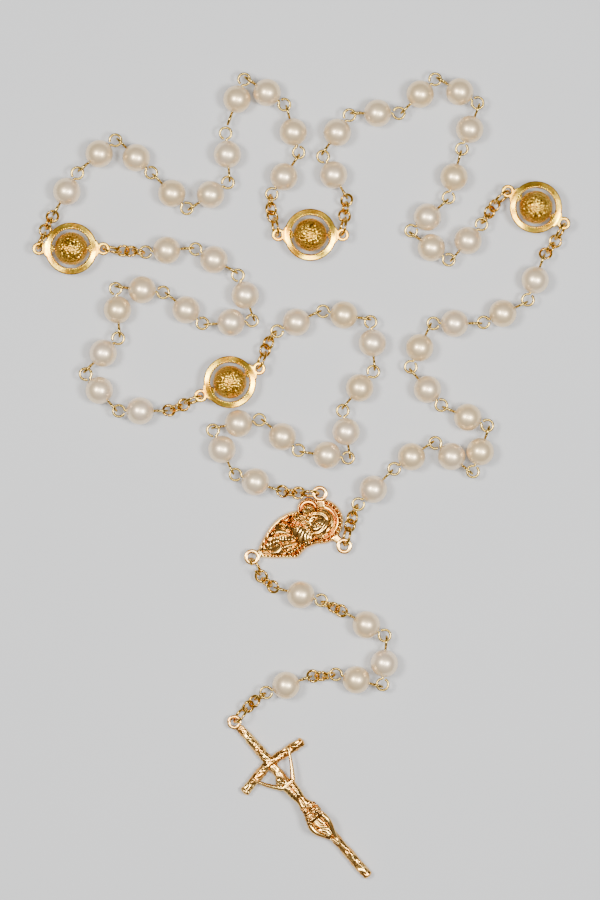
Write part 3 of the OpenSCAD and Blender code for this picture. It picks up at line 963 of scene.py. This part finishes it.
# Cloth round the hips, gathered in a knot at one side
CLOTH = [
    ([(1.1, -24.0, 3.1), (-1.3, -24.3, 3.1)], [0.85, 0.85]),
    ([(1.0, -25.4, 3.3), (-1.3, -25.7, 3.3)], [0.95, 0.95]),
    ([(1.1, -26.6, 3.4), (-1.5, -26.9, 3.4)], [0.85, 0.85]),
    ([(1.5, -24.1, 3.4), (1.75, -25.8, 3.3), (1.65, -27.6, 3.2)], [0.42, 0.36, 0.22]),
]
# Middle of the cloth that hangs between the legs
LEG_CLOTH = (-0.45, -29.5, 2.95)


# Nose, chin, brows and mouth, as (place on the head, half sizes)
FEATURES = [
    ((0, -0.08, 0.72), (0.11, 0.26, 0.16)),
    ((0, -0.66, 0.42), (0.34, 0.3, 0.3)),
    ((0.26, 0.18, 0.62), (0.24, 0.08, 0.12)),
    ((-0.26, 0.18, 0.62), (0.24, 0.08, 0.12)),
    ((0, -0.36, 0.64), (0.17, 0.05, 0.1)),
]


def ellipsoid(at, size, turn=0.0):
    """A ball stretched to three half sizes and turned about Z."""
    verts, faces = ball_on_wire(1.0, 0.01, 24, 14)
    m = np.array(turned(turn, at) @ Matrix.Diagonal((*size, 1.0)))
    return verts @ m[:3, :3].T + m[:3, 3], faces


def add_head(soup):
    """Bowed head with hair to the shoulders, and a plain, even face under it."""
    u, v, w = HEAD
    soup.add(*ellipsoid(HEAD, (0.74, 0.98, 0.72), HEAD_TURN))
    soup.add(*ellipsoid((u + 0.1, v + 0.35, w - 0.1), (0.95, 0.95, 0.78), HEAD_TURN))
    for side in (-1, 1):
        lock = [(u + side * 0.78, v + 0.3, 3.6), (u + side * 0.82 + 0.1, v - 0.7, 3.5),
                (u + side * 0.72 + 0.3, v - 1.6, 3.35)]
        soup.add(*tube(bent(lock, 16), np.linspace(0.34, 0.2, 16), 14))
    c, s = math.cos(HEAD_TURN), math.sin(HEAD_TURN)
    for (x, y, z), size in FEATURES:
        soup.add(*ellipsoid((u + x * c - y * s, v + x * s + y * c, w + z), size, HEAD_TURN))


def skinned(piece):
    """The mesh of a piece under one softened skin."""
    skin = piece.modifiers.new("skin", "REMESH")
    skin.mode = "VOXEL"
    skin.voxel_size = VOXEL * MM
    soften = piece.modifiers.new("soften", "SMOOTH")
    soften.factor = 0.5
    soften.iterations = 2
    bpy.context.view_layer.update()
    shell = piece.evaluated_get(bpy.context.evaluated_depsgraph_get())
    mesh = bpy.data.meshes.new_from_object(shell)
    piece.modifiers.clear()
    return mesh


def build_corpus(node, place):
    soup = Soup()
    for path, radii in LIMBS + CLOTH:
        count = 12 * len(path)
        soup.add(*tube(bent(path, count), widths(radii, count), 20))
    soup.add(*ellipsoid(LEG_CLOTH, (1.4, 3.5, 0.6)))
    add_head(soup)
    piece = make_piece(node + "_figure", soup, ["cast_gold"])
    mesh = piece.data = skinned(piece)
    carve_corpus(mesh)
    mesh.transform(Matrix.Translation(Vector(place.translation) * MM) @ place.to_3x3().to_4x4())
    mesh.shade_smooth()
    if not mesh.materials:
        mesh.materials.append(MATERIALS["cast_gold"])
    stand_for(piece, node)


def carve_corpus(mesh):
    """Ribs, cloth folds and strands of hair, pressed into the skin of the figure."""
    mesh.update()
    count = len(mesh.vertices)
    co = np.zeros(count * 3, np.float32)
    normal = np.zeros(count * 3, np.float32)
    mesh.vertices.foreach_get("co", co)
    mesh.vertices.foreach_get("normal", normal)
    co, normal = co.reshape(-1, 3) / MM, normal.reshape(-1, 3)
    x, y, z = co.T
    chest = step(-y, 18.3, 19) * (1 - step(-y, 21.6, 22.4)) * step(z, 3.2, 3.8)
    ribs = chest * (0.5 + 0.5 * np.cos((y + 0.7 * np.abs(x)) * FULL_TURN / 0.85))
    ribs *= step(np.abs(x), 0.25, 0.6)
    middle_line = chest * np.exp(-((x + 0.05) / 0.14) ** 2)
    cloth = step(-y, 23.5, 24) * (1 - step(-y, 27.3, 27.9))
    folds = cloth * (0.5 + 0.5 * np.sin((x * 1.3 + y * 2.1 + 0.4 * np.sin(x * 4)) * 3.4))
    hair = (1 - step(-y, 16.9, 17.6)) * step(-y, 14.6, 15) * (np.abs(x + 0.8) < 2)
    crown = hair * step(y, -16.0, -15.7)
    strands = crown * (0.5 + 0.5 * np.sin(np.arctan2(y + 16.4, x + 0.9) * 26))
    fall = egg(x, y, LEG_CLOTH[:2], (1.35, 3.5)) * (z < 3.75)
    hem = (fall > 0) * (1 - step(fall, 0.25, 0.6))
    pleats = step(fall, 0.1, 0.5) * (0.5 + 0.5 * np.sin(3.2 * y + 4.5 * x + 1.5 * np.sin(2.1 * y)))
    deep = 0.09 * ribs + 0.10 * middle_line + 0.17 * folds + 0.08 * strands + 0.12 * pleats + 0.16 * hem
    co = co - normal * deep[:, None]
    mesh.vertices.foreach_set("co", (co * MM).astype(np.float32).reshape(-1))
    for old in [a for a in mesh.attributes if a.name == "painted_recess_shade"]:
        mesh.attributes.remove(old)
    layer = mesh.attributes.new("painted_recess_shade", "FLOAT", "POINT")
    # Painted shade: the pressed grooves, and the figure towards the bottom where it meets the cross,
    # are darkened in colour
    low = np.clip((2.75 - z) / 0.7, 0, 1)
    layer.data.foreach_set("value", np.clip(deep * 4.5 + 0.5 * low, 0, 1).astype(np.float32))


# ---- Putting it together ----


def build_all():
    for node in sorted(frame["nodes"]):
        if "pins" in node or "_pin_" in node:
            pins = build_wires(node)
            build_pearls(node.replace("pins", "pearls").replace("_pin_", "_pearl_"), pins)
        elif node.endswith("chain_left") or node.endswith("chain_right") or node == "crucifix_chain":
            build_wires(node)
        elif node.endswith("_frame"):
            build_medallion(node)
        elif node.endswith("_ball"):
            build_ball(node)
    build_centrepiece("centrepiece")
    place = cross_place("crucifix_cross")
    build_cross("crucifix_cross", place)
    build_corpus("crucifix_corpus", place)


# Where the camera and the lights aim, how much height the view takes in, and the camera's height
VIEW_AT = Vector((0.00174, 0.01924, 0.0))
VIEW_TALL = 0.1957
CAMERA_HIGH = 0.9
TABLE_HALF = 1.2
# The table lies this much under the part, so that the two don't touch
TABLE_GAP = 0.00002

# Lamps: name, place, size, watts and colour
LAMPS = [
    ("flash_left", (-0.30, 0.10, 0.70), 0.22, 5.2, (1, 0.985, 0.96)),
    ("flash_right", (0.32, -0.02, 0.70), 0.22, 5.8, (0.98, 0.99, 1)),
    ("flash_top", (0.02, 0.03, 0.80), 0.24, 2.6, (1, 1, 1)),
]


def build_floor():
    mesh = bpy.data.meshes.new("table_top")
    corners = [(-1, -1), (1, -1), (1, 1), (-1, 1)]
    mesh.from_pydata([(x * TABLE_HALF, y * TABLE_HALF, 0) for x, y in corners], [], [(0, 1, 2, 3)])
    mesh.materials.append(floor_material())
    floor = bpy.data.objects.new("table_top", mesh)
    floor.location.z = -TABLE_GAP
    bpy.context.scene.collection.objects.link(floor)


def area_light(name, at, size, power, colour):
    light = bpy.data.lights.new(name, "AREA")
    light.shape = "DISK"
    light.size = size
    light.energy = power
    light.color = colour
    lamp = bpy.data.objects.new(name, light)
    lamp.location = at
    lamp.rotation_euler = (VIEW_AT - Vector(at)).to_track_quat("-Z", "Y").to_euler()
    lamp.visible_camera = False
    bpy.context.scene.collection.objects.link(lamp)


def build_world():
    """Dim room light: brown from below, warm walls, pale from above."""
    world = bpy.data.worlds.new("studio")
    bpy.context.scene.world = world
    world.use_nodes = True
    tree = world.node_tree
    back = tree.nodes["Background"]
    where = tree.nodes.new("ShaderNodeTexCoord")
    split = tree.nodes.new("ShaderNodeSeparateXYZ")
    ramp = tree.nodes.new("ShaderNodeValToRGB")
    tree.links.new(where.outputs["Generated"], split.inputs[0])
    tree.links.new(split.outputs["Z"], ramp.inputs[0])
    tree.links.new(ramp.outputs[0], back.inputs[0])
    stops = ramp.color_ramp.elements
    stops[0].position = 0.1
    stops[0].color = (0.10, 0.06, 0.035, 1)
    stops[1].position = 0.93
    stops[1].color = (0.62, 0.62, 0.63, 1)
    stops.new(0.6).color = (0.37, 0.31, 0.26, 1)
    back.inputs[1].default_value = 0.5


def build_camera():
    data = bpy.data.cameras.new("camera")
    data.sensor_fit = "VERTICAL"
    data.angle = 2 * math.atan(VIEW_TALL / 2 / (CAMERA_HIGH - BEAD_R * MM))
    camera = bpy.data.objects.new("camera", data)
    camera.location = VIEW_AT + Vector((0, 0, CAMERA_HIGH))
    bpy.context.scene.collection.objects.link(camera)
    bpy.context.scene.camera = camera


build_camera()
build_world()
for lamp in LAMPS:
    area_light(*lamp)
build_floor()
build_all()

bpy.context.view_layer.update()
